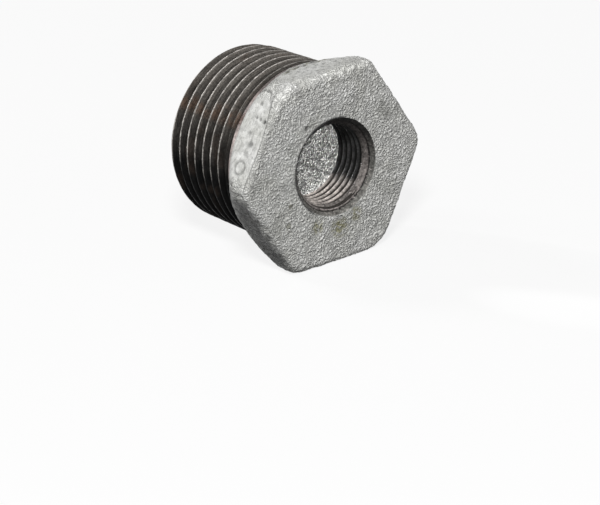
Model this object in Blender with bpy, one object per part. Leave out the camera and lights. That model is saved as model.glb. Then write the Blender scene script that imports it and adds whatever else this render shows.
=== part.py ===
# Hexagon reducing bushing, R 1 male by Rp 3/8 female, one malleable iron casting.
# The axis is Y: the hexagon's face looks to -Y, the male thread points to +Y.
# +Z is square to one flat, and the origin is the middle of the hexagon's axis. Metres throughout.
# Angles about the axis run from +Z towards +X.

import math

import bmesh
import bpy
from mathutils import Matrix, Vector

# Overall sizes of the fitting
OVERALL_LENGTH = 0.0290
HEAD_LENGTH = 0.0092
ACROSS_FLATS = 0.0360
CORNER_RADIUS = 0.0040
# The casting is rounded unevenly: each corner's radius, by the angle at which the corner stands
CORNER_RADIUS_SHARES = {-150: 0.95, -90: 1.0, -30: 1.3, 30: 0.6, 90: 1.0, 150: 1.6}
FACE_EDGE_RADIUS = 0.0010
BACK_CONE_ANGLE = math.radians(33.0)
NECK_BLEND_LENGTH = 0.0022

# How far the male thread, and the core with the tapped bore, sit off the hexagon's axis along X
MALE_OFFSET = 0.0009
CORE_OFFSET = 0.0006

# Male taper thread R 1: its gauge plane is measured back from the tip
MALE_GAUGE_DIAMETER = 0.033249
MALE_GAUGE_LENGTH = 0.0104
MALE_PITCH = 0.002309
MALE_TAPER_SHARE = 1 / 16
MALE_RUNOUT_LENGTH = 0.0017
MALE_PLAIN_LENGTH = 0.0005
MALE_TIP_CHAMFER = 0.0018
MALE_START_ANGLE = math.radians(180.0)

# Female parallel thread Rp 3/8: its length is measured in from the face
FEMALE_MAJOR_DIAMETER = 0.016662
FEMALE_PITCH = 0.001337
FEMALE_LENGTH = 0.0094
FEMALE_MOUTH_DIAMETER = 0.0183
FEMALE_MOUTH_ANGLE = math.radians(43.0)
FEMALE_START_ANGLE = math.radians(43.0)

# Whitworth thread form, in pitches
THREAD_DEPTH_SHARE = 0.640327
THREAD_LAND_SHARE = 1 / 6

# Cast cavity, open at the threaded end: its wall is measured in from the male crest at the tip
CAVITY_WALL = 0.0035995
CAVITY_DRAFT_ANGLE = math.radians(1.2)
CAVITY_FILLET = 0.0028
CAVITY_MOUTH_CHAMFER = 0.0005

# How far a cutter runs past the wall that it cuts, and a union reaches into its neighbour
OVERRUN = 0.0010
# Points closer than this are one point
WELD = 0.0000005

# Facets
MALE_STEPS = 48
FEMALE_STEPS = 40
TURNED_STEPS = 72
CAVITY_STEPS = 48
CORNER_SEGMENTS = 5
EDGE_SEGMENTS = 3
FILLET_SEGMENTS = 4
SMOOTH_ANGLE = math.radians(28.0)

FACE_Y = -OVERALL_LENGTH / 2
TIP_Y = OVERALL_LENGTH / 2
NECK_Y = FACE_Y + HEAD_LENGTH
WEB_Y = FACE_Y + FEMALE_LENGTH
AXIS = Vector((0, 1, 0))
SIDEWAYS = Vector((1, 0, 0))
CENTRE = Vector((0, 0, 0))


def clear_scene():
    for obj in list(bpy.data.objects):
        bpy.data.objects.remove(obj)


def metal(name, colour, roughness, metallic):
    material = bpy.data.materials.new(name)
    material.use_nodes = True
    shader = material.node_tree.nodes["Principled BSDF"]
    shader.inputs["Base Color"].default_value = (*colour, 1)
    shader.inputs["Roughness"].default_value = roughness
    shader.inputs["Metallic"].default_value = metallic
    return material


def add_object(name, bm, material):
    """Puts the finished bmesh in the scene, shaded smooth between its sharp edges."""
    bmesh.ops.recalc_face_normals(bm, faces=bm.faces)
    mesh = bpy.data.meshes.new(name)
    bm.to_mesh(mesh)
    bm.free()
    mesh.materials.append(material)
    mesh.shade_smooth()
    mesh.set_sharp_from_angle(angle=SMOOTH_ANGLE)
    obj = bpy.data.objects.new(name, mesh)
    bpy.context.scene.collection.objects.link(obj)
    return obj


def add_helper(name, bm, material):
    """A shape that only joins or cuts another one, so it is drawn as a wire."""
    obj = add_object(name, bm, material)
    obj.hide_render = True
    obj.display_type = "WIRE"
    return obj


def male_crest_radius(y):
    """The taper grows away from the tip and has its stated diameter at the gauge plane."""
    behind_gauge = TIP_Y - MALE_GAUGE_LENGTH - y
    return (MALE_GAUGE_DIAMETER + MALE_TAPER_SHARE * behind_gauge) / 2


def turned(profile, steps):
    """A closed solid turned about the Y axis from (radius, y) points that start and end on it."""
    bm = bmesh.new()
    points = [bm.verts.new((0, y, radius)) for radius, y in profile]
    edges = [bm.edges.new(pair) for pair in zip(points, points[1:])]
    bmesh.ops.spin(
        bm, geom=points + edges, cent=CENTRE, axis=AXIS, angle=2 * math.pi, steps=steps, use_merge=True
    )
    bmesh.ops.remove_doubles(bm, verts=bm.verts, dist=WELD)
    return bm


def arc(centre, radius, start, end, segments):
    """Points along a fillet, as (radius, y) pairs."""
    angles = [start + (end - start) * i / segments for i in range(segments + 1)]
    return [(centre[0] + radius * math.cos(a), centre[1] + radius * math.sin(a)) for a in angles]


def thread_surface(root_radius, pitch, low_y, high_y, steps, start_angle):
    """One pitch of the thread form, spun along its helix and trimmed square at both ends.

    A crest stands at start_angle from +Z towards +X, on the plane of high_y.
    """
    depth = THREAD_DEPTH_SHARE * pitch
    half_land = THREAD_LAND_SHARE * pitch / 2
    turns = math.ceil((high_y - low_y) / pitch) + 2
    first_y = high_y - (turns - 1) * pitch
    form = [
        (root_radius, -pitch / 2),
        (root_radius, half_land - pitch / 2),
        (root_radius + depth, -half_land),
        (root_radius + depth, half_land),
        (root_radius, pitch / 2 - half_land),
        (root_radius, pitch / 2),
    ]
    bm = bmesh.new()
    points = [bm.verts.new((0, first_y + y, radius)) for radius, y in form]
    edges = [bm.edges.new(pair) for pair in zip(points, points[1:])]
    bmesh.ops.rotate(bm, verts=points, cent=CENTRE, matrix=Matrix.Rotation(start_angle, 3, AXIS))
    bmesh.ops.spin(
        bm,
        geom=points + edges,
        cent=CENTRE,
        axis=AXIS,
        dvec=AXIS * pitch / steps,
        angle=2 * math.pi * turns,
        steps=steps * turns,
    )
    bmesh.ops.remove_doubles(bm, verts=bm.verts, dist=WELD)
    for y, outward in ((low_y, -AXIS), (high_y, AXIS)):
        bmesh.ops.bisect_plane(
            bm,
            geom=bm.verts[:] + bm.edges[:] + bm.faces[:],
            dist=WELD,
            plane_co=AXIS * y,
            plane_no=outward,
            clear_outer=True,
        )
    return bm


def end_loop(bm, y):
    """The open edges in the plane of y."""
    return [e for e in bm.edges if e.is_boundary and all(abs(v.co.y - y) < WELD for v in e.verts)]


def set_radius(vert, radius):
    flat = Vector((vert.co.x, 0, vert.co.z)).normalized() * radius
    vert.co = Vector((flat.x, vert.co.y, flat.z))


def move_sideways(bm, offset):
    bmesh.ops.translate(bm, verts=bm.verts, vec=SIDEWAYS * offset)


def make_barrel(material):
    """The male thread: tapered, chamfered at the tip and running out before the head."""
    depth = THREAD_DEPTH_SHARE * MALE_PITCH
    root = MALE_GAUGE_DIAMETER / 2 - depth
    bm = thread_surface(root, MALE_PITCH, NECK_Y, TIP_Y, MALE_STEPS, MALE_START_ANGLE)
    plain_y = NECK_Y + MALE_PLAIN_LENGTH
    for vert in bm.verts:
        y = vert.co.y
        crest = male_crest_radius(y)
        height = math.hypot(vert.co.x, vert.co.z) - root
        out = min(max((y - plain_y) / MALE_RUNOUT_LENGTH, 0), 1)
        radius = crest - (depth - height) * out
        tip_limit = male_crest_radius(TIP_Y) - MALE_TIP_CHAMFER + (TIP_Y - y)
        set_radius(vert, min(radius, tip_limit))
    neck = end_loop(bm, NECK_Y)
    grown = bmesh.ops.extrude_edge_only(bm, edges=neck)["geom"]
    inner = [v for v in grown if isinstance(v, bmesh.types.BMVert)]
    bmesh.ops.translate(bm, verts=inner, vec=-AXIS * OVERRUN * 2)
    bmesh.ops.holes_fill(bm, edges=[e for e in bm.edges if e.is_boundary])
    move_sideways(bm, MALE_OFFSET)
    return add_helper("male_thread", bm, material)


def make_back_cone(material):
    """The cone that cuts the corners down to the neck, which it meets on the thread's axis."""
    slope = math.tan(BACK_CONE_ANGLE)
    neck_radius = male_crest_radius(NECK_Y)
    blend_y = NECK_Y - NECK_BLEND_LENGTH
    front_y, back_y = FACE_Y - OVERRUN, NECK_Y + OVERRUN
    rings = [(neck_radius + (NECK_Y - y) * slope, y) for y in (front_y, blend_y, NECK_Y, back_y)]
    bm = turned([(0, front_y), *rings, (0, back_y)], TURNED_STEPS)
    at_thread = [v for v in bm.verts if v.co.y > NECK_Y - WELD]
    bmesh.ops.translate(bm, verts=at_thread, vec=SIDEWAYS * MALE_OFFSET)
    return add_helper("back_cone", bm, material)


def make_cavity(material):
    """The cast hollow behind the web, with draft, a filleted floor and a chamfered mouth."""
    mouth_radius = male_crest_radius(TIP_Y) - CAVITY_WALL
    depth = TIP_Y - WEB_Y
    floor_radius = mouth_radius - depth * math.tan(CAVITY_DRAFT_ANGLE)
    chamfer_y = TIP_Y - CAVITY_MOUTH_CHAMFER
    out_y = TIP_Y + OVERRUN
    out_radius = mouth_radius + CAVITY_MOUTH_CHAMFER + OVERRUN
    fillet_at = (floor_radius - CAVITY_FILLET, WEB_Y + CAVITY_FILLET)
    fillet = arc(fillet_at, CAVITY_FILLET, -math.pi / 2, 0, FILLET_SEGMENTS)
    profile = [(0, WEB_Y), *fillet, (mouth_radius, chamfer_y), (out_radius, out_y), (0, out_y)]
    bm = turned(profile, CAVITY_STEPS)
    move_sideways(bm, CORE_OFFSET)
    return add_helper("cavity_core", bm, material)


def make_bore(material):
    """The tap's shape: the female thread, from outside the face into the cavity."""
    root = FEMALE_MAJOR_DIAMETER / 2 - THREAD_DEPTH_SHARE * FEMALE_PITCH
    low_y, high_y = FACE_Y - OVERRUN, WEB_Y + OVERRUN
    bm = thread_surface(root, FEMALE_PITCH, low_y, high_y, FEMALE_STEPS, FEMALE_START_ANGLE)
    bmesh.ops.holes_fill(bm, edges=[e for e in bm.edges if e.is_boundary])
    move_sideways(bm, CORE_OFFSET)
    return add_helper("female_thread", bm, material)


def make_mouth(material):
    """The countersink at the mouth of the female thread."""
    slope = math.tan(FEMALE_MOUTH_ANGLE)
    mouth_radius = FEMALE_MOUTH_DIAMETER / 2
    out_y = FACE_Y - OVERRUN
    point_y = FACE_Y + mouth_radius / slope
    profile = [(0, out_y), (mouth_radius + OVERRUN * slope, out_y), (0, point_y)]
    bm = turned(profile, TURNED_STEPS)
    move_sideways(bm, CORE_OFFSET)
    return add_helper("countersink", bm, material)


def stands_at(edge, angle):
    """True for the edge along the hexagon's length that stands at this angle about the axis."""
    ends = [v.co for v in edge.verts]
    along = abs(ends[0].y - ends[1].y) > HEAD_LENGTH / 2
    place = Vector((math.sin(angle), 0, math.cos(angle)))
    beside = ends[0].cross(AXIS).dot(place)
    return along and abs(beside) < WELD * 10 and ends[0].dot(place) > 0


def make_hexagon(material):
    """The hexagon prism with rounded corners and a rounded edge to its face."""
    bm = bmesh.new()
    corner = ACROSS_FLATS / 2 / math.cos(math.pi / 6)
    bmesh.ops.create_circle(bm, cap_ends=True, radius=corner, segments=6)
    bmesh.ops.rotate(bm, verts=bm.verts, cent=CENTRE, matrix=Matrix.Rotation(math.pi / 2, 3, "X"))
    # The first corner now stands on +Z, so half a corner's turn brings flats to +Z and -Z
    bmesh.ops.rotate(bm, verts=bm.verts, cent=CENTRE, matrix=Matrix.Rotation(math.pi / 6, 3, AXIS))
    bmesh.ops.translate(bm, verts=bm.verts, vec=AXIS * FACE_Y)
    grown = bmesh.ops.extrude_face_region(bm, geom=bm.faces[:])["geom"]
    back = [v for v in grown if isinstance(v, bmesh.types.BMVert)]
    bmesh.ops.translate(bm, verts=back, vec=AXIS * (HEAD_LENGTH + OVERRUN * 2))
    for degrees, share in CORNER_RADIUS_SHARES.items():
        bmesh.ops.bevel(
            bm,
            geom=[e for e in bm.edges if stands_at(e, math.radians(degrees))],
            affect="EDGES",
            offset=CORNER_RADIUS * share * math.tan(math.pi / 6),
            segments=CORNER_SEGMENTS,
            profile=0.5,
            material=-1,
        )
    face_edges = [e for e in bm.edges if all(v.co.y < FACE_Y + HEAD_LENGTH / 2 for v in e.verts)]
    bmesh.ops.bevel(
        bm,
        geom=face_edges,
        affect="EDGES",
        offset=FACE_EDGE_RADIUS,
        segments=EDGE_SEGMENTS,
        profile=0.5,
        material=-1,
    )
    return add_object("reducer_bushing", bm, material)


def apply_tool(obj, tool, operation):
    cut = obj.modifiers.new(f"{operation.lower()} {tool.name}", "BOOLEAN")
    cut.operation = operation
    cut.object = tool
    cut.solver = "EXACT"
    cut.material_mode = "TRANSFER"


def build():
    clear_scene()
    zinc = metal("galvanised_casting", (0.52, 0.53, 0.53), 0.5, 0.8)
    iron = metal("cut_iron", (0.09, 0.08, 0.07), 0.4, 0.9)
    bushing = make_hexagon(zinc)
    apply_tool(bushing, make_back_cone(zinc), "INTERSECT")
    apply_tool(bushing, make_barrel(iron), "UNION")
    apply_tool(bushing, make_cavity(zinc), "DIFFERENCE")
    apply_tool(bushing, make_mouth(iron), "DIFFERENCE")
    apply_tool(bushing, make_bore(iron), "DIFFERENCE")


build()
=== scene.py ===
# A galvanised hexagon reducing bushing: the casting with its two threads, its finishes, and the
# camera, floor and lamps. The axis is Y, with the hexagon's face at -Y and the male thread at +Y.
# Lengths are in metres. Angles are in degrees in the dictionaries, and run from +Z towards +X.

import math

import bmesh
import bpy
from mathutils import Matrix, Quaternion, Vector, noise


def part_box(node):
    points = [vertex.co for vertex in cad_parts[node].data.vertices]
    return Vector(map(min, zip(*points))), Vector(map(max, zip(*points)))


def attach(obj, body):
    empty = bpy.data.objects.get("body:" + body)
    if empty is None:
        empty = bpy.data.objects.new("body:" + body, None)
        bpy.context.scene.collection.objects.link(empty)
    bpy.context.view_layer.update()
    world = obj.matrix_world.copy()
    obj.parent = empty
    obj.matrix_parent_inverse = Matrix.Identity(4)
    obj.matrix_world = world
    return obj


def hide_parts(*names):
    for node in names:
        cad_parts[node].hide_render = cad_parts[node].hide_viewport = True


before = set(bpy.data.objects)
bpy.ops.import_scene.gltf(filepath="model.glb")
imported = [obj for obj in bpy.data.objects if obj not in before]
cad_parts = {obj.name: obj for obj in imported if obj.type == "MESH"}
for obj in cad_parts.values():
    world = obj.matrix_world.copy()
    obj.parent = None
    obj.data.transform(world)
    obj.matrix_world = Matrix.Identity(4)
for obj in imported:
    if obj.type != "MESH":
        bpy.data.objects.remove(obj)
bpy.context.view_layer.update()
print("frame loaded")

axis = Vector((0, 1, 0))
centre = Vector((0, 0, 0))
weld = 0.0000005  # points closer than this are one point

nodeLow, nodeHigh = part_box("reducer_bushing")
faceY = nodeLow.y
tipY = nodeHigh.y
acrossFlats = nodeHigh.z - nodeLow.z

slots = dict(zinc=0, maleIron=1, cavityZinc=2, femaleIron=3, machined=4, mouth=5)
ironSlots = [slots[name] for name in ("maleIron", "femaleIron", "machined", "mouth")]


# Small tools for the shapes


def onAxis(angle, radius, y, offset=0):
    return Vector((offset + radius * math.sin(angle), y, radius * math.cos(angle)))


def angleOf(vert):
    return math.atan2(vert.co.x, vert.co.z)


def softMin(a, b, width):
    near = max(width - abs(a - b), 0) / width
    return min(a, b) - near * near * width / 4


def softStep(value, low, high):
    share = min(max((value - low) / (high - low), 0), 1)
    return share * share * (3 - 2 * share)


def peak(value, middle, width):  # 1 at the middle and 0 a width away
    return max(1 - abs(value - middle) / width, 0)


def turnBetween(a, b):  # the angle from a to b, in degrees, -180 to 180
    return (b - a + 180) % 360 - 180


def nearest(places, degrees):
    return min(places, key=lambda place: abs(turnBetween(place, degrees)))


def addLayers(bm):
    for name in ("station", "skin", "crest", "tone", "stain", "pit"):
        bm.verts.layers.float.new(name)


def getLayers(bm, *names):
    return [bm.verts.layers.float[name] for name in names]


def repeatStrip(bm, times, step):  # each copy stands one step further on, and the seams are closed
    first = bm.verts[:] + bm.edges[:] + bm.faces[:]
    move = Matrix.Identity(4)
    for _ in range(times - 1):
        move = step @ move
        copied = bmesh.ops.duplicate(bm, geom=first)["geom"]
        points = [item for item in copied if isinstance(item, bmesh.types.BMVert)]
        bmesh.ops.transform(bm, matrix=move, verts=points)
    bmesh.ops.remove_doubles(bm, verts=bm.verts, dist=weld)


def makeProfile(stations, columns, slot):  # a row of points turned full circle, by their stations
    bm = bmesh.new()
    addLayers(bm)
    layer = getLayers(bm, "station")[0]
    points = []
    for station in stations:
        point = bm.verts.new((0, station * acrossFlats, acrossFlats))
        point[layer] = station
        points.append(point)
    edges = [bm.edges.new(pair) for pair in zip(points, points[1:])]
    sectors = 12
    sector = 2 * math.pi / sectors
    steps = columns // sectors
    bmesh.ops.spin(bm, geom=points + edges, cent=centre, axis=axis, angle=sector, steps=steps)
    repeatStrip(bm, sectors, Matrix.Rotation(sector, 4, axis))
    for face in bm.faces:
        face.material_index = slot
    return bm


# The hexagonal head. Its corners stand at -90, -30, 30 and so on, with the flats between them.
# A station says how far down the profile a point is: 0 to 1 over the face, 1 to 2 round its edge,
# 2 to 3 down a flat and 3 to 4 down the cone behind it. A fade has two ends, both of them
# stations or both degrees

casting = dict(
    headLength=0.0092,
    coneAngle=33,  # between the back cone and the axis
    maleOffset=0.0009,  # how far the male thread sits off the head's axis, along X
    coreOffset=0.0006,  # and the cast hollow with the tapped bore
    mouthRadius=0.00915,
    cornerRadius={-90: 0.0040, -30: 0.0052, 30: 0.0024, 90: 0.0040, 150: 0.0064, -150: 0.0038},
    # how far the front edge is rounded, at the corners and the middles of the flats
    edgeRadius={
        -180: 0.0010, -150: 0.0013, -120: 0.0018, -90: 0.0009, -60: 0.0006, -30: 0.0019,
        0: 0.0016, 30: 0.0013, 60: 0.0010, 90: 0.0010, 120: 0.0010, 150: 0.0011, 180: 0.0010,
    },
    creaseBlend=0.0006,  # how softly the flats go over to the cone
    creaseTurn=(2.9, 3.1),  # the stations between which the surface turns there
    neckBlend=0.0022,  # the length over which the cone leads over to the thread's axis
    columns=528,
    rows=(44, 9, 26, 12),  # of faces, over the face, its edge, the flats and the cone
)
halfFlat = 30  # from the middle of a flat to its corner

# The cast skin, where 1 is as rough as the face
castSkin = dict(
    flats={0: 0.42, -60: 0.10, -120: 0.95, 180: 0.60, 120: 0.55, 60: 0.55},
    cornerFade=(4, 9),  # a flat's own skin begins this far from its corners
    edgeFade=(1.85, 2.05),  # and between these stations
    boreFade=(0.0, 0.08),  # the face is smooth beside the bore
    lump=0.00010,
    lumpScale=420,
    smoothLump=0.4,  # the share of the lumps that smooth skin keeps
    grain=0.00019,
    grainScales=(1700, 2500),
    grainShift=Vector((7, 3, 5)),
)

# Painted light and shade on the head's zinc, where 1 is as pale as the face: each flat is paler or
# darker by how it faces the lamps
paintedHeadLight = dict(
    # painted light and shade at the front of each flat, and at its back
    flats={
        0: (0.92, 0.94), -60: (1.13, 1.13), -120: (0.19, 0.44),
        180: (0.70, 0.80), 120: (0.80, 0.90), 60: (0.95, 0.95),
    },
    backFade=(2.35, 2.9),
    cornerFade=(1, 6),
    edgeFade=(1.80, 2.0),
    lowAngle=-150,  # the corner in the shade
    lowFade=(10, 24),
    lowEdge=(0.95, 1.7),
    lowDark=0.45,
    brightFade=(36, 52),  # a painted highlight along the upper edge, in patches
    brightStation=1.45,
    brightWidth=0.75,
    brightScale=1700,
    brightPatch=(-0.08, 0.15),
    bright=0.46,
    rimAngle=-62,  # painted shade: a dark line along the bore, at the upper left
    rimFade=(72, 90),
    rimEdge=(0.01, 0.06),
    rimTone=0.03,
)

# The flat with a pale rim and a clear line round it
crispFlat = dict(
    angle=-60,
    reach={-90: 0.3, -30: 3.0},  # how far short of a corner its tone ends
    fade=0.8,
    roundCorner=-30,  # at this corner it ends shorter at the front
    roundReach=7,
    roundFade=(1.8, 2.35),
    rim=(1.2, 0.8),  # how far inside its end, and how wide
    rimStation=(2.03, 0.06),
    rimPale=0.12,
    line=(-0.3, 1.0),
    lineStation=(1.89, 0.12),
    lineFade=(0, 4),
    lineDark=0.65,
)

# The lower flat, darkened as painted shade, with blotchy mottle
shadedFlat = dict(
    angle=-120,
    cornerFade=(0, 7),
    cornerWander=5,
    cornerScale=700,
    edgeFade=(1.35, 2.15),
    edgeWander=0.5,
    edgeScale=900,
    mottle=1.2,
    mottleScale=1100,
)

# Where the cutter stopped against the casting, at the top
neckScar = dict(
    angle=-1,
    fade=(11.4, 19),
    stations=(2.76, 2.90),
    height=0.00034,
    roughScale=900,
    roughDark=(-0.05, 0.20),
    tone=0.60,
    crackStation=2.90,  # a ragged dark crack in the zinc, just before the neck
    crackWander=0.16,
    crackScale=1300,
    crackWidth=0.10,
    crackFade=(14, 19),
    crackDark=0.85,
    crackStain=0.5,
)

# Dents and stains on the face, with their places as x and z
faceMarks = (
    dict(place=(0.0045, -0.00995), radius=0.0014, depth=0.00002, tone=0.85, stain=0.85),
    dict(place=(0.0006, -0.01160), radius=0.0021, depth=0.00002, tone=0.84, stain=0.85),
    dict(place=(-0.0044, -0.01010), radius=0.0014, depth=0.00002, tone=0.85, stain=0.75),
    dict(place=(-0.0102, -0.0046), radius=0.0006, depth=0.00008, tone=0.62, stain=0.5),
    dict(place=(-0.01095, -0.00805), radius=0.0007, depth=0.00008, tone=0.62, stain=0.3),
    dict(place=(0.0125, 0.0076), radius=0.0018, depth=0.00002, tone=0.84),
    dict(place=(-0.0055, 0.0090), radius=0.00055, depth=0.00022, tone=0.30),
    dict(place=(-0.0113, -0.0010), radius=0.0010, depth=0.00004, tone=0.78),
)

# Dents on the crisp flat, with their places as the way along it and the way back from the face
flatMarks = (
    dict(place=(-0.00552, 0.00372), radius=0.00125, depth=0.00018, tone=0.40, ring=0.28),
    dict(place=(-0.00088, 0.00299), radius=0.00075, depth=0.00011, tone=0.40),
    dict(place=(0.00092, 0.00413), radius=0.00045, depth=0.00009, tone=0.51),
    dict(place=(-0.00277, 0.00334), radius=0.00060, depth=0.00005, tone=0.62),
    dict(place=(0.00372, 0.00161), radius=0.00044, depth=0.00029, tone=0.10),
    dict(place=(0.00390, 0.00280), radius=0.00038, depth=0.00022, tone=0.33),
    dict(place=(0.00402, 0.00386), radius=0.00036, depth=0.00018, tone=0.40),
    dict(place=(0.00667, 0.00386), radius=0.00045, depth=0.00014, tone=0.48),
    dict(place=(0.00167, 0.00074), radius=0.00032, depth=0.00014, tone=0.51),
    dict(place=(-0.00916, 0.00462), radius=0.00034, depth=0.00018, tone=0.33),
)
markFade = (0.45, 1.25)  # a mark fades out between these shares of its radius
flatMarkStart = 1.2  # the station past which the marks are the flat's
flatMarkReach = 40  # and how far round from the flat's middle they are looked for

neckY = faceY + casting["headLength"]


def hexagonRadius(angle):
    degrees = math.degrees(angle)
    corner = nearest(casting["cornerRadius"], degrees)
    fromCorner = math.radians(abs(turnBetween(corner, degrees)))
    radius = casting["cornerRadius"][corner]
    apothem = acrossFlats / 2
    half = math.radians(halfFlat)
    fromFlat = half - fromCorner
    if math.tan(fromFlat) * apothem <= (apothem - radius) * math.tan(half):
        return apothem / math.cos(fromFlat)
    reach = (apothem - radius) / math.cos(half)
    across = reach * math.sin(fromCorner)
    return reach * math.cos(fromCorner) + math.sqrt(radius**2 - across**2)


def edgeRadiusAt(degrees):
    before = math.floor(degrees / halfFlat) * halfFlat
    after = min(before + halfFlat, 180)
    share = softStep(degrees, before, before + halfFlat)
    return casting["edgeRadius"][before] * (1 - share) + casting["edgeRadius"][after] * share


def headPoint(angle, station):  # a point of the true form, and which way is outwards there
    outline = hexagonRadius(angle)
    edge = edgeRadiusAt(math.degrees(angle))
    outward = onAxis(angle, 1, 0)
    if station <= 1:
        mouth = onAxis(angle, casting["mouthRadius"], faceY, casting["coreOffset"])
        rim = onAxis(angle, outline - edge, faceY)
        return mouth.lerp(rim, station), -axis
    if station <= 2:
        turn = (station - 1) * math.pi / 2
        radius = outline - edge * (1 - math.sin(turn))
        point = onAxis(angle, radius, faceY + edge * (1 - math.cos(turn)))
        return point, outward * math.sin(turn) - axis * math.cos(turn)
    slope = math.tan(math.radians(casting["coneAngle"]))
    neckRadius = maleCrest(neckY)
    creaseY = neckY - (outline - neckRadius) / slope
    if station <= 3:
        y = faceY + edge + (creaseY - faceY - edge) * (station - 2)
    else:
        y = creaseY + (neckY - creaseY) * (station - 3)
    cone = neckRadius + (neckY - y) * slope
    radius = softMin(outline, cone, casting["creaseBlend"])
    back = softStep(station, *casting["creaseTurn"])
    settle = softStep(y, neckY - casting["neckBlend"], neckY)
    normal = (outward + axis * slope * back).normalized()
    return onAxis(angle, radius, y, casting["maleOffset"] * settle), normal


def headSkin(angle, station):
    degrees = math.degrees(angle)
    flat = nearest(castSkin["flats"], degrees)
    fromCorner = halfFlat - abs(turnBetween(flat, degrees))
    corner = 1 - softStep(fromCorner, *castSkin["cornerFade"])
    onFlat = softStep(station, *castSkin["edgeFade"])
    return 1 - onFlat * (1 - castSkin["flats"][flat]) * (1 - corner)


def castHeight(point, skin):  # how far the cast surface stands proud of its true form
    values = castSkin
    lumps = noise.noise(point * values["lumpScale"]) * values["lump"]
    coarse = noise.noise(point * values["grainScales"][0])
    fine = noise.noise(point * values["grainScales"][1] + values["grainShift"])
    kept = values["smoothLump"] + (1 - values["smoothLump"]) * skin
    return lumps * kept + (coarse * 0.5 + fine * 0.5) * values["grain"] * skin


def crispShade(fromCorner, corner, station):
    values = crispFlat
    reach = values["reach"][corner]
    if corner == values["roundCorner"]:
        reach += values["roundReach"] * (1 - softStep(station, *values["roundFade"]))
    edge = softStep(station, *paintedHeadLight["edgeFade"])
    beside = softStep(fromCorner, reach, reach + values["fade"]) * edge
    inside = fromCorner - reach
    rim = max(peak(inside, *values["rim"]), peak(station, *values["rimStation"])) * beside
    alongEdge = peak(station, *values["lineStation"]) * softStep(fromCorner, *values["lineFade"])
    line = max(peak(inside, *values["line"]) * edge, alongEdge)
    return beside, (1 + values["rimPale"] * rim) * (1 - values["lineDark"] * line)


# painted shade over the lower flat, with blotchy mottle
def shadedFlatTone(fromCorner, station, point):
    values = shadedFlat
    wander = values["cornerWander"] * noise.noise(point * values["cornerScale"])
    beside = softStep(fromCorner + wander, *values["cornerFade"])
    wander = values["edgeWander"] * noise.noise(point * values["edgeScale"])
    beside *= softStep(station + wander, *values["edgeFade"])
    return beside, 1 + values["mottle"] * noise.noise(point * values["mottleScale"] + axis) * beside


def paintedHeadTone(angle, station, point):
    values = paintedHeadLight
    degrees = math.degrees(angle)
    flat = nearest(values["flats"], degrees)
    # painted light and shade: each flat's tone by how it faces the lamps
    front, back = values["flats"][flat]
    tone = front + (back - front) * softStep(station, *values["backFade"])
    fromCorner = halfFlat - abs(turnBetween(flat, degrees))
    if flat == crispFlat["angle"]:
        corner = nearest(casting["cornerRadius"], degrees)
        beside, shade = crispShade(fromCorner, corner, station)
    elif flat == shadedFlat["angle"]:
        beside, shade = shadedFlatTone(fromCorner, station, point)
    else:
        beside = softStep(fromCorner, *values["cornerFade"])
        beside *= softStep(station, *values["edgeFade"])
        shade = 1
    low = 1 - softStep(abs(turnBetween(values["lowAngle"], degrees)), *values["lowFade"])
    shade *= 1 - values["lowDark"] * low * softStep(station, *values["lowEdge"])
    # painted shade along the bore's edge, at the upper left
    upperLeft = 1 - softStep(abs(turnBetween(values["rimAngle"], degrees)), *values["rimFade"])
    rim = (1 - softStep(station, *values["rimEdge"])) * upperLeft
    shade *= 1 - (1 - values["rimTone"]) * rim
    # a painted highlight along the upper edge, in patches
    top = 1 - softStep(abs(degrees), *values["brightFade"])
    patch = softStep(noise.noise(point * values["brightScale"]), *values["brightPatch"])
    brightened = peak(station, values["brightStation"], values["brightWidth"]) * top * patch
    return (1 + (tone - 1) * beside) * shade * (1 + brightened * values["bright"])


def marksNear(angle, station, point):  # each mark, with how far away its middle is
    if station < flatMarkStart:
        marks, here = faceMarks, (point.x, point.z)
    else:
        turn = turnBetween(crispFlat["angle"], math.degrees(angle))
        if abs(turn) >= flatMarkReach:
            return []
        along = acrossFlats / 2 * math.tan(math.radians(turn))
        marks, here = flatMarks, (along, point.y - faceY)
    return [(mark, math.dist(here, mark["place"])) for mark in marks]


def marksAt(angle, station, point):  # how deep, dark and stained the marks make the skin here
    depth, tone, stain = 0, 1, 0
    for mark, distance in marksNear(angle, station, point):
        away = distance / mark["radius"]
        if "ring" in mark:  # only its outline shows, this wide
            share = peak(away, 1, mark["ring"])
        else:
            share = 1 - softStep(away, *markFade)
        depth += share * mark["depth"]
        tone *= 1 - share * (1 - mark["tone"])
        stain = max(stain, share * mark.get("stain", 0))
    return depth, tone, stain


def scarAt(angle, station, point):  # how high, dark and stained the cutter left the neck here
    values = neckScar
    away = abs(turnBetween(values["angle"], math.degrees(angle)))
    scar = softStep(station, *values["stations"]) * (1 - softStep(away, *values["fade"]))
    rough = noise.noise(point * values["roughScale"])
    tone = 1 - scar * (1 - values["tone"]) * softStep(-rough, *values["roughDark"])
    wander = values["crackWander"] * noise.noise(point * values["crackScale"])
    crack = peak(station, values["crackStation"] + wander, values["crackWidth"])
    crack *= 1 - softStep(away, *values["crackFade"])
    tone *= 1 - values["crackDark"] * crack
    return scar * rough * values["height"], tone, values["crackStain"] * crack


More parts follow.
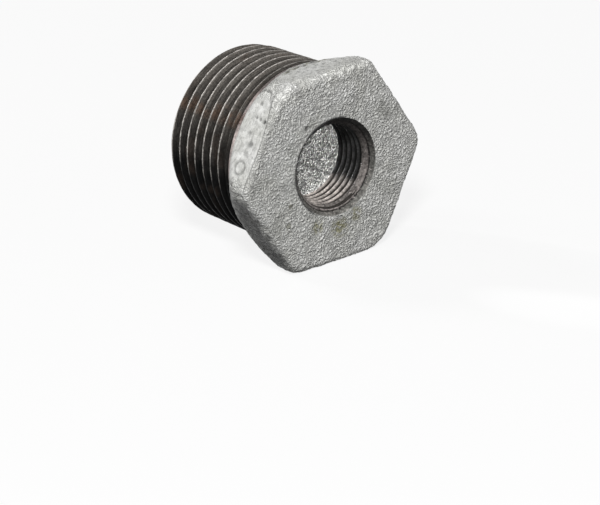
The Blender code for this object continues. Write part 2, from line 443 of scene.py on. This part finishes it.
def makeHead():
    stations = [0]
    for zone, rows in enumerate(casting["rows"]):
        stations += [zone + i / rows for i in range(1, rows + 1)]
    bm = makeProfile(stations, casting["columns"], slots["zinc"])
    station, skin, tone, stain, pit = getLayers(bm, "station", "skin", "tone", "stain", "pit")
    for vert in bm.verts:
        angle = angleOf(vert)
        down = vert[station]
        point, outward = headPoint(angle, down)
        depth, markTone, markStain = marksAt(angle, down, point)
        rise, scarTone, scarStain = scarAt(angle, down, point)
        vert[skin] = headSkin(angle, down)
        # the tone holds the marks, the scar, and the head's painted light and shade
        vert[tone] = markTone * paintedHeadTone(angle, down, point) * scarTone
        vert[stain] = max(markStain, scarStain)
        height = castHeight(point, vert[skin]) * softStep(down, *castSkin["boreFade"]) + rise
        vert[pit] = height / castSkin["grain"]
        vert.co = point + outward * (height - depth)
    return bm


# The cast hollow behind the web

cavity = dict(
    mouthRadius=0.0127,
    rimMargin=0.0006,  # the flat end is joined to the thread this far inside its chamfer
    draft=1.2,
    fillet=0.0028,
    chamfer=0.0005,
    machinedReach=1.2,  # how far in the cutter went, in chamfers
    floorRadius=0.0084,
    webDepth=0.0094,  # from the hexagon's face to the hollow's floor
    skinStart=(0.0002, 0.0012),  # how far inside the end the cast skin begins
    floorLean=0.5,  # how far the skin's direction leans inwards on the floor
    seamAngle=129,  # a fine line that the core's joint left
    seamWidth=1.6,
    seamDepth=0.00030,
    seamDark=0.65,
    # painted light: the hollow's zinc is painted paler by this much, for the light inside it
    tone=1.30,
    columns=204,
    rimRows=8,
    chamferRows=3,
    wallRows=38,
    filletRows=8,
    floorRows=5,
)
webY = faceY + cavity["webDepth"]


def cavityOutline():
    values = cavity
    mouth, fillet, chamfer = values["mouthRadius"], values["fillet"], values["chamfer"]
    floorRim = mouth - (tipY - webY) * math.tan(math.radians(values["draft"])) - fillet
    rim = maleCrest(tipY) - maleThread["tipChamfer"] - values["rimMargin"]
    corners = [
        (rim, tipY, values["rimRows"]),
        (mouth + chamfer, tipY, values["chamferRows"]),
        (mouth, tipY - chamfer, values["wallRows"]),
        (floorRim + fillet, webY + fillet, 0),
    ]
    outline = []
    for here, there in zip(corners, corners[1:]):
        start, end = Vector(here[:2]), Vector(there[:2])
        outline += [start.lerp(end, i / here[2]) for i in range(here[2])]
    for i in range(values["filletRows"] + 1):
        turn = i / values["filletRows"] * math.pi / 2
        radius = floorRim + fillet * math.cos(turn)
        outline.append(Vector((radius, webY + fillet - fillet * math.sin(turn))))
    rows, width = values["floorRows"], values["floorRadius"] - floorRim
    outline += [Vector((floorRim + width * i / rows, webY)) for i in range(1, rows + 1)]
    return outline


def makeCavity():
    values = cavity
    outline = cavityOutline()
    stations = [i / len(outline) for i in range(len(outline))]
    bm = makeProfile(stations, values["columns"], slots["cavityZinc"])
    station, skin, tone, pit = getLayers(bm, "station", "skin", "tone", "pit")
    for vert in bm.verts:
        angle = angleOf(vert)
        radius, y = outline[round(vert[station] * len(outline))]
        point = onAxis(angle, radius, y, casting["coreOffset"])
        inside = softStep(tipY - y, *values["skinStart"])
        inward = onAxis(angle, -1, 0)
        if y <= webY + values["fillet"]:
            inward = (axis - onAxis(angle, values["floorLean"], 0)).normalized()
        fromSeam = turnBetween(values["seamAngle"], math.degrees(angle))
        groove = peak(fromSeam, 0, values["seamWidth"]) * inside
        height = castHeight(point, 1) * inside
        vert[skin] = inside
        # the hollow's painted light, with the seam's dark line
        vert[tone] = values["tone"] * (1 - values["seamDark"] * groove)
        vert[pit] = height / castSkin["grain"]
        vert.co = point + inward * (height - groove * values["seamDepth"])
    for face in bm.faces:
        if min(v.co.y for v in face.verts) > tipY - values["chamfer"] * values["machinedReach"]:
            face.material_index = slots["machined"]
    return bm


# Both threads are one pitch of the Whitworth form, spun along the helix and trimmed square

threadForm = dict(
    depth=0.640327,  # in pitches
    flank=27.5,
    rounding=0.16,
    places=(0.045, 0.085, 0.13, 0.25, 0.37, 0.415, 0.455),  # from the crest's middle, in pitches
)
threadGap = 0.0001  # left between a thread and the surfaces that it is bridged to


def threadHeight(share):  # 1 at the crest and 0 at the root
    rounding = threadForm["rounding"]
    slope = 1 / math.tan(math.radians(threadForm["flank"])) / threadForm["depth"]
    height = 0.5 + slope * (0.25 - abs(share))
    return 1 - softMin(1 - softMin(height, 1, rounding), 1, rounding)


def makeThread(values, lowY, highY, slot):  # its radius is set afterwards
    bm = bmesh.new()
    addLayers(bm)
    crest = getLayers(bm, "crest")[0]
    pitch, steps = values["pitch"], values["steps"]
    turns = math.ceil((highY - lowY) / pitch) + 2
    firstY = highY - (turns - 1) * pitch
    ahead = threadForm["places"]
    points = []
    for share in (-0.5, *[-place for place in reversed(ahead)], *ahead, 0.5):
        point = bm.verts.new((0, firstY + share * pitch, acrossFlats / 2))
        point[crest] = threadHeight(share)
        points.append(point)
    edges = [bm.edges.new(pair) for pair in zip(points, points[1:])]
    turn = Matrix.Rotation(math.radians(values["startAngle"]), 3, axis)
    bmesh.ops.rotate(bm, verts=points, cent=centre, matrix=turn)
    bmesh.ops.spin(
        bm,
        geom=points + edges,
        cent=centre,
        axis=axis,
        dvec=axis * pitch / steps,
        angle=2 * math.pi,
        steps=steps,
    )
    repeatStrip(bm, turns, Matrix.Translation(axis * pitch))
    for y, outward in ((lowY, -axis), (highY, axis)):
        bmesh.ops.bisect_plane(
            bm,
            geom=bm.verts[:] + bm.edges[:] + bm.faces[:],
            dist=weld,
            plane_co=axis * y,
            plane_no=outward,
            clear_outer=True,
        )
    for face in bm.faces:
        face.material_index = slot
    return bm


maleThread = dict(
    gaugeDiameter=0.033249,
    gaugeLength=0.0104,
    pitch=0.002309,
    taper=1 / 16,
    plain=0.0009,  # the plain neck behind the thread
    runout=0.0014,
    machinedReach=0.12,  # the share of the run-out that is as plain as the neck
    tipChamfer=0.0015,
    startAngle=180,  # a crest stands here in the plane of the tip
    steps=160,
    nick=0.00006,  # small dents along the crests
    nickScale=14,
    nickTurns=900,
    nickMean=0.4,
    rustAngle=-53.5,  # a band of rust runs along the thread here
    rustWidth=8,
    rustFade=0.3,
    smearAngle=-33,  # the thread is paler here, near the neck
    smearWidth=8,
    smearLength=0.009,
    smearFade=(0.5, 1.2),
    smearPale=0.3,
    shadeAngle=-10,  # and darker near the neck, at the top
    shadeFade=(25, 45),
    shadeReach=(0.0022, 0.0050),
    shadeDark=0.45,
)


def maleCrest(y):
    behindGauge = tipY - maleThread["gaugeLength"] - y
    return (maleThread["gaugeDiameter"] + maleThread["taper"] * behindGauge) / 2


def maleThreadTone(y, degrees):
    values = maleThread
    fromNeck = y - neckY
    fromSmear = turnBetween(values["smearAngle"], degrees)
    away = math.hypot(fromSmear / values["smearWidth"], fromNeck / values["smearLength"])
    smear = 1 - softStep(away, *values["smearFade"])
    fromShade = abs(turnBetween(values["shadeAngle"], degrees))
    dark = 1 - softStep(fromShade, *values["shadeFade"])
    dark *= 1 - softStep(fromNeck, *values["shadeReach"])
    return (1 + values["smearPale"] * smear) * (1 - values["shadeDark"] * dark)


def makeMaleThread():
    values = maleThread
    bm = makeThread(values, neckY + threadGap, tipY, slots["maleIron"])
    crest, tone, stain = getLayers(bm, "crest", "tone", "stain")
    depth = threadForm["depth"] * values["pitch"]
    plainY = neckY + values["plain"]
    rust = values["rustWidth"]
    for vert in bm.verts:
        y = vert.co.y
        angle = angleOf(vert)
        degrees = math.degrees(angle)
        out = softStep(y, plainY, plainY + values["runout"])
        radius = maleCrest(y) - depth * (1 - vert[crest]) * out
        place = onAxis(angle, 1, y * values["nickTurns"]) * values["nickScale"]
        nick = noise.noise(place) * vert[crest] * out
        radius += values["nick"] * (nick - values["nickMean"])
        tip = maleCrest(tipY) - values["tipChamfer"] + (tipY - y)
        vert.co = onAxis(angle, min(radius, tip), y, casting["maleOffset"])
        vert[crest] = vert[crest] * out
        fromRust = abs(turnBetween(values["rustAngle"], degrees))
        vert[stain] = 1 - softStep(fromRust, rust * values["rustFade"], rust)
        vert[tone] = maleThreadTone(y, degrees)
    for face in bm.faces:
        if max(v.co.y for v in face.verts) < plainY + values["runout"] * values["machinedReach"]:
            face.material_index = slots["machined"]
    return bm


femaleThread = dict(
    majorDiameter=0.016662,
    pitch=0.001337,
    mouthAngle=43,
    mouthReach=0.0005,  # how far past the countersink the thread is as clean
    endRadius=0.0080,  # where the bore's inner edge is broken
    startAngle=133,
    steps=108,
)


def mouthDepth(vert):  # how deep the countersink reaches at this vertex's radius
    radius = math.hypot(vert.co.x - casting["coreOffset"], vert.co.z)
    slope = math.tan(math.radians(femaleThread["mouthAngle"]))
    return (casting["mouthRadius"] - radius) / slope + weld * 10


def makeFemaleThread():
    values = femaleThread
    bm = makeThread(values, faceY + threadGap, webY - threadGap, slots["femaleIron"])
    crest, skin, tone = getLayers(bm, "crest", "skin", "tone")
    major = values["majorDiameter"] / 2
    depth = threadForm["depth"] * values["pitch"]
    slope = math.tan(math.radians(values["mouthAngle"]))
    for vert in bm.verts:
        y = vert.co.y
        radius = major - depth * (1 - vert[crest])
        countersink = casting["mouthRadius"] - (y - faceY) * slope
        innerEnd = values["endRadius"] - (webY - y)
        widest = max(radius, countersink, innerEnd)
        vert.co = onAxis(angleOf(vert), widest, y, casting["coreOffset"])
        vert[crest] = 1 - vert[crest]
        # 1 at the rim, 0 where the thread begins, less than 0 inside it
        vert[skin] = (countersink - major) / (casting["mouthRadius"] - major)
        vert[tone] = 1
    for face in bm.faces:
        if all(faceY + mouthDepth(v) + values["mouthReach"] > v.co.y for v in face.verts):
            face.material_index = slots["mouth"]
    return bm


# The whole bushing: the four strips, bridged at their open ends

loopReach = 0.0003  # how far an open edge may stand off its end's plane
sharpAngle = 38


def openEdges(bm, slot, y):
    ends = [e for e in bm.edges if e.is_boundary and e.link_faces[0].material_index == slot]
    return [e for e in ends if all(abs(v.co.y - y) < loopReach for v in e.verts)]


def joinStrips(strips):
    whole = bmesh.new()
    for strip in strips:
        mesh = bpy.data.meshes.new("strip")
        strip.to_mesh(mesh)
        strip.free()
        whole.from_mesh(mesh)
        bpy.data.meshes.remove(mesh)
    return whole


def makeBushing():
    bm = joinStrips([makeHead(), makeMaleThread(), makeCavity(), makeFemaleThread()])
    print("head, threads and cavity made")
    joints = (  # which two open ends meet, where, and the finish between them
        ("zinc", "mouth", faceY, "mouth"),
        ("zinc", "machined", neckY, "machined"),
        ("maleIron", "machined", tipY, "machined"),
        ("cavityZinc", "femaleIron", webY, "cavityZinc"),
    )
    loops = []
    for first, second, y, _ in joints:
        loops.append((openEdges(bm, slots[first], y), openEdges(bm, slots[second], y)))
    for (first, second), (*_, finish) in zip(loops, joints):
        for face in bmesh.ops.bridge_loops(bm, edges=first + second)["faces"]:
            face.material_index = slots[finish]
    bmesh.ops.recalc_face_normals(bm, faces=bm.faces)
    for face in bm.faces:
        face.smooth = True
    for edge in bm.edges:
        angle = edge.calc_face_angle(0)
        if angle > math.radians(sharpAngle) and edge.link_faces[0].material_index in ironSlots:
            edge.smooth = False
    neckLoop, tipLoops = loops[1][1], loops[2]
    for edge in neckLoop + tipLoops[0] + tipLoops[1]:
        edge.smooth = False
    mesh = bpy.data.meshes.new("reducer_bushing_fine")
    bm.to_mesh(mesh)
    bm.free()
    bushing = bpy.data.objects.new("bushing", mesh)
    bpy.context.scene.collection.objects.link(bushing)
    return bushing


# Finishes. A pattern is noise, spread from one number to another


def newMaterial(name, look):
    material = bpy.data.materials.new(name)
    material.use_nodes = True
    shader = material.node_tree.nodes["Principled BSDF"]
    shader.inputs["Metallic"].default_value = look["metallic"]
    shader.inputs["Roughness"].default_value = look["roughness"]
    shader.inputs["Specular IOR Level"].default_value = look["specular"]
    return material, material.node_tree, shader


def setOrLink(tree, socket, value):
    if isinstance(value, bpy.types.NodeSocket):
        tree.links.new(value, socket)
    else:
        socket.default_value = value


def addNoise(tree, vector, scale, detail, roughness):
    node = tree.nodes.new("ShaderNodeTexNoise")
    node.inputs["Scale"].default_value = scale
    node.inputs["Detail"].default_value = detail
    node.inputs["Roughness"].default_value = roughness
    tree.links.new(vector, node.inputs["Vector"])
    return node.outputs["Fac"]


def addRange(tree, value, low, high, newLow=0, newHigh=1):
    node = tree.nodes.new("ShaderNodeMapRange")
    tree.links.new(value, node.inputs["Value"])
    ends = (("From Min", low), ("From Max", high), ("To Min", newLow), ("To Max", newHigh))
    for name, number in ends:
        node.inputs[name].default_value = number
    return node.outputs["Result"]


def addPattern(tree, vector, values, result=(0, 1)):
    value = addNoise(tree, vector, values["scale"], values["detail"], values["roughness"])
    return addRange(tree, value, *values["noise"], *values.get("result", result))


def addRamp(tree, value, stops):
    node = tree.nodes.new("ShaderNodeValToRGB")
    ramp = node.color_ramp
    while len(ramp.elements) < len(stops):
        ramp.elements.new(0.5)
    for element, (place, colour) in zip(ramp.elements, stops):
        element.position = place
        element.color = (*colour, 1)
    tree.links.new(value, node.inputs["Fac"])
    return node.outputs["Color"]


def addMix(tree, factor, a, b, blend="MIX"):
    node = tree.nodes.new("ShaderNodeMix")
    node.data_type = "RGBA"
    node.blend_type = blend
    for name, value in (("Factor_Float", factor), ("A_Color", a), ("B_Color", b)):
        if isinstance(value, tuple):
            value = (*value, 1)
        setOrLink(tree, next(s for s in node.inputs if s.identifier == name), value)
    return next(s for s in node.outputs if s.identifier == "Result_Color")


def addShade(tree, colour, shade):
    return addMix(tree, 1.0, colour, shade, "MULTIPLY")


def addMath(tree, operation, *values):
    node = tree.nodes.new("ShaderNodeMath")
    node.operation = operation
    for socket, value in zip(node.inputs, values):
        setOrLink(tree, socket, value)
    return node.outputs["Value"]


def addVectorMath(tree, operation, vector, other):
    node = tree.nodes.new("ShaderNodeVectorMath")
    node.operation = operation
    tree.links.new(vector, node.inputs[0])
    setOrLink(tree, node.inputs[1], other)
    return node.outputs["Vector"]


def addBump(tree, height, strength, distance, normal=None):
    node = tree.nodes.new("ShaderNodeBump")
    node.inputs["Distance"].default_value = distance
    setOrLink(tree, node.inputs["Strength"], strength)
    tree.links.new(height, node.inputs["Height"])
    if normal:
        tree.links.new(normal, node.inputs["Normal"])
    return node.outputs["Normal"]


def objectPlace(tree):
    return tree.nodes.new("ShaderNodeTexCoord").outputs["Object"]


def heightOf(tree, place):
    node = tree.nodes.new("ShaderNodeSeparateXYZ")
    tree.links.new(place, node.inputs["Vector"])
    return node.outputs["Z"]


def attribute(tree, name):
    node = tree.nodes.new("ShaderNodeAttribute")
    node.attribute_name = name
    return node.outputs["Fac"]


def finishShader(tree, shader, colour, normal):
    tree.links.new(colour, shader.inputs["Base Color"])
    tree.links.new(normal, shader.inputs["Normal"])


zincLook = dict(
    pale=(0.71, 0.71, 0.69),
    dull=(0.57, 0.57, 0.54),
    mottle=240,
    worms=1950,
    wormShade=(0.60, 1.10),
    speckle=None,  # only the hollow has light and dark specks
    bump=0.00075,
    pits=0.00012,
    metallic=0.0,
    roughness=0.40,
    specular=0.22,
)

hollowLook = dict(
    pale=(0.70, 0.695, 0.675),
    dull=(0.44, 0.435, 0.415),
    mottle=420,
    worms=1800,
    wormShade=(0.30, 1.30),
    speckle=(0.42, 1.42),
    bump=0.0030,
    pits=0.0016,
    metallic=0.0,
    roughness=0.40,
    specular=0.22,
)

# What both kinds of zinc share
zincSkin = dict(
    mottleDetail=(3, 0.6),
    mottleStops=(0.35, 0.65),
    hollows=(-0.35, 0.10, 0.84, 1.03),  # dirt lies in the hollows
    wormDetail=(0.6, 0.5),
    wormWidth=0.10,
    speckle=dict(scale=2100, detail=2, roughness=0.6, noise=(0.38, 0.62)),
    clouds=dict(scale=950, detail=3, roughness=0.65, noise=(0.34, 0.62), result=(0.76, 1.09)),
    dashes=dict(scale=2600, detail=1, roughness=0.5, noise=(0.55, 0.62), result=(1.0, 0.36)),
    dashStretch=(0.35, 1.0, 0.6),
    dashFade=(0.1, 0.4, 0.35, 1),  # fainter on the smoothest skin
    stain=(0.27, 0.26, 0.15),
    stainPatches=dict(scale=1300, detail=2, roughness=0.6, noise=(0.42, 0.56)),
    bumpStrength=(0.12, 1.0),  # on smooth skin and on rough
    pitNoise=(1500, 4, 0.75),
    pitStrength=0.5,
)


def addWorms(tree, place, scale):  # 0 along fine winding lines, more between them
    winding = addNoise(tree, place, scale, *zincSkin["wormDetail"])
    return addMath(tree, "ABSOLUTE", addMath(tree, "SUBTRACT", winding, 0.5))


def makeZinc(name, look):
    values = zincSkin
    material, tree, shader = newMaterial(name, look)
    place = objectPlace(tree)
    skin = attribute(tree, "skin")
    worms = addWorms(tree, place, look["worms"])
    mottle = addNoise(tree, place, look["mottle"], *values["mottleDetail"])
    stops = tuple(zip(values["mottleStops"], (look["dull"], look["pale"])))
    colour = addRamp(tree, mottle, stops)
    hollow = addRange(tree, attribute(tree, "pit"), *values["hollows"])
    wormShade = addRange(tree, worms, 0, values["wormWidth"], *look["wormShade"])
    rough = addShade(tree, hollow, wormShade)
    if look["speckle"]:
        rough = addShade(tree, rough, addPattern(tree, place, values["speckle"], look["speckle"]))
    clouds = addPattern(tree, place, values["clouds"])
    stretched = addVectorMath(tree, "MULTIPLY", place, values["dashStretch"])
    dashes = addPattern(tree, stretched, values["dashes"])
    dashes = addMix(tree, addRange(tree, skin, *values["dashFade"]), (1, 1, 1), dashes)
    smooth = addShade(tree, clouds, dashes)
    colour = addShade(tree, colour, addMix(tree, skin, smooth, rough))
    patches = addPattern(tree, place, values["stainPatches"])
    stained = addMath(tree, "MULTIPLY", attribute(tree, "stain"), patches)
    colour = addShade(tree, colour, attribute(tree, "tone"))
    colour = addMix(tree, stained, colour, values["stain"])
    normal = addBump(tree, worms, addRange(tree, skin, 0, 1, *values["bumpStrength"]), look["bump"])
    pits = addNoise(tree, place, *values["pitNoise"])
    normal = addBump(tree, pits, values["pitStrength"], look["pits"], normal)
    finishShader(tree, shader, colour, normal)
    return material


# Cut iron takes one colour above a height and another below it, as painted shade: darker below on
# the male thread and the machined faces, darker above in the bore. Its crests are paler, bare worn
# iron with a painted highlight
maleIronLook = dict(
    body=(0.086, 0.079, 0.071),
    bodyBelow=(0.007, 0.007, 0.007),
    edge=(0.50, 0.47, 0.44),
    edgeBelow=(0.030, 0.030, 0.030),
    rusty=(0.078, 0.055, 0.042),
    # painted shade: the thread is darker below this height
    shadeLine=(-0.001, 0.0150),
    # painted highlight on the crests above this height, painted shade on them below
    edgeLine=(-0.003, 0.003),
    ragged=(-0.002, 0.002),
    rootTone=0.15,
    crestTone=1.75,
    toneBelow=0.8,
    brightened=(0.965, 0.99),
    rust=0.3,
    bump=0.00005,
    metallic=0.0,
    roughness=0.42,
    specular=0.03,
)

boreIronLook = dict(
    body=(0.014, 0.014, 0.013),
    bodyBelow=(0.150, 0.134, 0.122),
    edge=(0.045, 0.045, 0.045),
    edgeBelow=(0.56, 0.51, 0.475),
    rusty=(0.10, 0.062, 0.045),
    # painted shade: the bore is darker above this height
    shadeLine=(-0.0062, -0.0046),
    # painted highlight on the crests below this height, painted shade on them above
    edgeLine=(-0.0062, -0.0046),
    ragged=(-0.0005, 0.0005),
    rootTone=0.20,
    crestTone=1.35,
    toneBelow=0.24,
    brightened=(0.54, 0.86),
    rust=0.0,
    bump=0.00005,
    metallic=0.0,
    roughness=0.35,
    specular=0.08,
)

machinedLook = dict(
    body=(0.40, 0.345, 0.33),
    bodyBelow=(0.14, 0.12, 0.115),
    edge=(0.40, 0.345, 0.33),
    edgeBelow=(0.14, 0.12, 0.115),
    rusty=(0.18, 0.12, 0.10),
    # painted shade: the machined faces are darker below this height
    shadeLine=(-0.010, 0.0),
    edgeLine=(-0.010, 0.0),
    ragged=(-0.002, 0.002),
    rootTone=1.0,
    crestTone=1.0,
    toneBelow=1.0,
    brightened=(0.50, 0.80),
    rust=0.35,
    bump=0.00005,
    metallic=0.0,
    roughness=0.42,
    specular=0.1,
)

# What all cut iron shares
cutSkin = dict(
    ragged=dict(scale=260, detail=3, roughness=0.6, noise=(0.3, 0.7)),  # makes the painted shade's line ragged
    band=dict(scale=420, detail=3, roughness=0.6, noise=(0.40, 0.56)),  # rust in the stained band
    rust=dict(scale=190, detail=2, roughness=0.5, noise=(0.57, 0.70)),  # and anywhere
    streaks=dict(scale=2600, detail=2, roughness=0.6, noise=(0.36, 0.64), result=(0.60, 1.40)),
    streakStretch=(0.12, 0.12, 0.12),
    streakShift=0.0035,
    glint=dict(scale=900, detail=2, roughness=0.7, noise=(0.35, 0.65), result=(0.45, 1.25)),
    grainNoise=(3200, 2, 0.6),
    grainShade=(0.3, 0.7, 0.55, 1.45),
    grainStrength=0.5,
)


def addStreaks(tree, place, crest):  # the cutter's streaks run along the thread
    sideways = tree.nodes.new("ShaderNodeCombineXYZ")
    shift = addMath(tree, "MULTIPLY", crest, cutSkin["streakShift"])
    tree.links.new(shift, sideways.inputs["X"])
    stretched = addVectorMath(tree, "MULTIPLY", place, cutSkin["streakStretch"])
    shifted = addVectorMath(tree, "ADD", stretched, sideways.outputs["Vector"])
    return addPattern(tree, shifted, cutSkin["streaks"])


def makeIron(name, look):
    values = cutSkin
    material, tree, shader = newMaterial(name, look)
    place = objectPlace(tree)
    crest = attribute(tree, "crest")
    ragged = addPattern(tree, place, values["ragged"], look["ragged"])
    height = addMath(tree, "ADD", heightOf(tree, place), ragged)
    # the colour changes at a height, as painted shade
    aboveLine = addRange(tree, height, *look["shadeLine"])
    body = addMix(tree, aboveLine, look["bodyBelow"], look["body"])
    band = addPattern(tree, place, values["band"])
    band = addMath(tree, "MULTIPLY", attribute(tree, "stain"), band)
    rust = addPattern(tree, place, values["rust"], (0, look["rust"]))
    body = addMix(tree, addMath(tree, "MAXIMUM", band, rust), body, look["rusty"])
    body = addShade(tree, body, addStreaks(tree, place, crest))
    flank = addRange(tree, crest, 0, 1, look["rootTone"], look["crestTone"])
    flank = addMix(tree, aboveLine, (look["toneBelow"],) * 3, flank)
    body = addShade(tree, body, flank)
    # the crests take a paler colour: bare worn iron with a painted highlight, shown on one side of
    # a height only
    edgeAboveLine = addRange(tree, height, *look["edgeLine"])
    edge = addMix(tree, edgeAboveLine, look["edgeBelow"], look["edge"])
    edge = addShade(tree, edge, addPattern(tree, place, values["glint"]))
    colour = addMix(tree, addRange(tree, crest, *look["brightened"]), body, edge)
    grain = addNoise(tree, place, *values["grainNoise"])
    colour = addShade(tree, colour, addRange(tree, grain, *values["grainShade"]))
    colour = addShade(tree, colour, attribute(tree, "tone"))
    finishShader(tree, shader, colour, addBump(tree, grain, values["grainStrength"], look["bump"]))
    return material


# The countersink and the thread's first turn, dark at the top as painted shade
mouthLook = dict(
    # from inside the bore to the rim: oily thread, the dark line where it begins, the bare cone
    bands=(
        (0.0, (0.17, 0.155, 0.145)),
        (0.42, (0.30, 0.27, 0.255)),
        (0.49, (0.030, 0.028, 0.026)),
        (0.56, (0.030, 0.028, 0.026)),
        (0.63, (0.16, 0.155, 0.143)),
        (0.93, (0.17, 0.168, 0.155)),
        (1.0, (0.36, 0.355, 0.335)),
    ),
    wander=dict(scale=1900, detail=2, roughness=0.6, noise=(0.3, 0.7), result=(-0.03, 0.03)),
    blotches=dict(scale=1500, detail=3, roughness=0.7, noise=(0.38, 0.62), result=(0.45, 1.45)),
    scratches=dict(scale=2400, detail=3, roughness=0.7, noise=(0.58, 0.66), result=(0, 0.60)),
    scratch=(0.66, 0.60, 0.57),
    # painted shade: the top of the mouth is darker, down to the tone below
    shadeLine=(0.0045, -0.0045),
    shadeTone=0.12,
    grainNoise=(2600, 2, 0.6),
    grainStrength=0.8,
    bump=0.00030,
    metallic=0.0,
    roughness=0.42,
    specular=0.1,
)


def makeMouth(name, look):
    material, tree, shader = newMaterial(name, look)
    place = objectPlace(tree)
    reach = addRange(tree, attribute(tree, "skin"), -1, 1)
    reach = addMath(tree, "ADD", reach, addPattern(tree, place, look["wander"]))
    colour = addRamp(tree, reach, look["bands"])
    colour = addShade(tree, colour, addPattern(tree, place, look["blotches"]))
    colour = addMix(tree, addPattern(tree, place, look["scratches"]), colour, look["scratch"])
    # painted shade over the top of the mouth
    topShade = addRange(tree, heightOf(tree, place), *look["shadeLine"], look["shadeTone"], 1)
    colour = addShade(tree, colour, topShade)
    grain = addNoise(tree, place, *look["grainNoise"])
    normal = addBump(tree, grain, look["grainStrength"], look["bump"])
    finishShader(tree, shader, colour, normal)
    return material


def makeMaterials():  # in the order of the slots
    return [
        makeZinc("galvanised_zinc", zincLook),
        makeIron("thread_iron", maleIronLook),
        makeZinc("cavity_zinc", hollowLook),
        makeIron("bore_iron", boreIronLook),
        makeIron("machined_iron", machinedLook),
        makeMouth("mouth_iron", mouthLook),
    ]


# Camera, floor and lamps

cameraView = dict(
    target=(0.0009, -0.001929, -0.019872),  # the point in the middle of the picture
    distance=1.5915,
    azimuth=-37.652,
    elevation=21.101,
    roll=-3.665,
    lens=526.548,
    clipStart=0.05,
    clipEnd=10,
)


def makeCamera():
    values = cameraView
    up = Vector((0, 0, 1))
    azimuth, elevation = math.radians(values["azimuth"]), math.radians(values["elevation"])
    level = Vector((math.sin(azimuth), -math.cos(azimuth), 0))
    back = level * math.cos(elevation) + up * math.sin(elevation)
    camera = bpy.data.objects.new("camera", bpy.data.cameras.new("camera"))
    bpy.context.scene.collection.objects.link(camera)
    camera.data.lens = values["lens"]
    camera.data.clip_start = values["clipStart"]
    camera.data.clip_end = values["clipEnd"]
    camera.location = Vector(values["target"]) + back * values["distance"]
    camera.rotation_mode = "QUATERNION"
    roll = Quaternion(up, math.radians(values["roll"]))
    camera.rotation_quaternion = (-back).to_track_quat("-Z", "Y") @ roll
    bpy.context.scene.camera = camera


# How light the floor and the world are to the lamps, and where they are seen as background
background = dict(
    floorSize=3,
    floorColour=(0.08, 0.9),
    floorGlow=0.85,  # the share of the seen floor that shows no shadow
    world=(0.05, 1.0),
)


def seenDirectly(tree):  # 1 where the camera, a reflection or clear glass sees the background
    path = tree.nodes.new("ShaderNodeLightPath")
    seen = addMath(tree, "MAXIMUM", path.outputs["Is Camera Ray"], path.outputs["Is Glossy Ray"])
    return addMath(tree, "MAXIMUM", seen, path.outputs["Is Transmission Ray"])


def makeFloor():
    bm = bmesh.new()
    bmesh.ops.create_grid(bm, x_segments=1, y_segments=1, size=background["floorSize"])
    bmesh.ops.translate(bm, verts=bm.verts, vec=(0, 0, nodeLow.z))
    mesh = bpy.data.meshes.new("floor")
    bm.to_mesh(mesh)
    bm.free()
    floor = bpy.data.objects.new("floor", mesh)
    bpy.context.scene.collection.objects.link(floor)
    material = bpy.data.materials.new("studio_floor")
    material.use_nodes = True
    tree = material.node_tree
    tree.nodes.clear()
    seen = seenDirectly(tree)
    diffuse = tree.nodes.new("ShaderNodeBsdfDiffuse")
    shade = addRange(tree, seen, 0, 1, *background["floorColour"])
    tree.links.new(shade, diffuse.inputs["Color"])
    glow = tree.nodes.new("ShaderNodeEmission")
    mix = tree.nodes.new("ShaderNodeMixShader")
    tree.links.new(addMath(tree, "MULTIPLY", seen, background["floorGlow"]), mix.inputs["Fac"])
    tree.links.new(diffuse.outputs["BSDF"], mix.inputs[1])
    tree.links.new(glow.outputs["Emission"], mix.inputs[2])
    output = tree.nodes.new("ShaderNodeOutputMaterial")
    tree.links.new(mix.outputs["Shader"], output.inputs["Surface"])
    mesh.materials.append(material)


def makeWorld():
    world = bpy.data.worlds.new("studio")
    bpy.context.scene.world = world
    world.use_nodes = True
    tree = world.node_tree
    tree.nodes.clear()
    sky = tree.nodes.new("ShaderNodeBackground")
    strength = addRange(tree, seenDirectly(tree), 0, 1, *background["world"])
    tree.links.new(strength, sky.inputs["Strength"])
    output = tree.nodes.new("ShaderNodeOutputWorld")
    tree.links.new(sky.outputs["Background"], output.inputs["Surface"])


# Each lamp: where it stands, its width and its power in watts. The spot shines into the cast hollow
lamps = dict(
    key=dict(place=(-0.50, -0.61, 0.71), width=0.22, power=10.5),
    fill=dict(place=(0.40, -1.00, 0.45), width=0.6, power=0.6),
    back=dict(place=(-0.35, 0.75, 0.56), width=0.3, power=3.4),
)
spot = dict(
    place=(-0.045, 0.20, 0.060),
    aim=(0.0010, 0.014, 0),
    width=0.010,
    cone=7.0,
    blend=0.3,
    power=3.1,
)


def placeLamp(name, light, place, aim):
    lamp = bpy.data.objects.new(name, light)
    bpy.context.scene.collection.objects.link(lamp)
    lamp.location = place
    lamp.rotation_euler = (Vector(aim) - Vector(place)).to_track_quat("-Z", "Y").to_euler()
    lamp.visible_camera = False


def makeLamps():
    for name, values in lamps.items():
        light = bpy.data.lights.new(name, "AREA")
        light.shape = "DISK"
        light.size = values["width"]
        light.energy = values["power"]
        placeLamp(name, light, values["place"], centre)
    light = bpy.data.lights.new("hollow_spot", "SPOT")
    light.spot_size = math.radians(spot["cone"])
    light.spot_blend = spot["blend"]
    light.shadow_soft_size = spot["width"]
    light.energy = spot["power"]
    placeLamp("hollow_spot", light, spot["place"], spot["aim"])


bpy.context.scene.view_settings.view_transform = "Standard"
makeCamera()
makeFloor()
makeWorld()
makeLamps()
print("camera, floor and lamps placed")

bushing = makeBushing()
print("bushing joined")
for material in makeMaterials():
    bushing.data.materials.append(material)
print("finishes made")
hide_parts("reducer_bushing")
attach(bushing, "root")
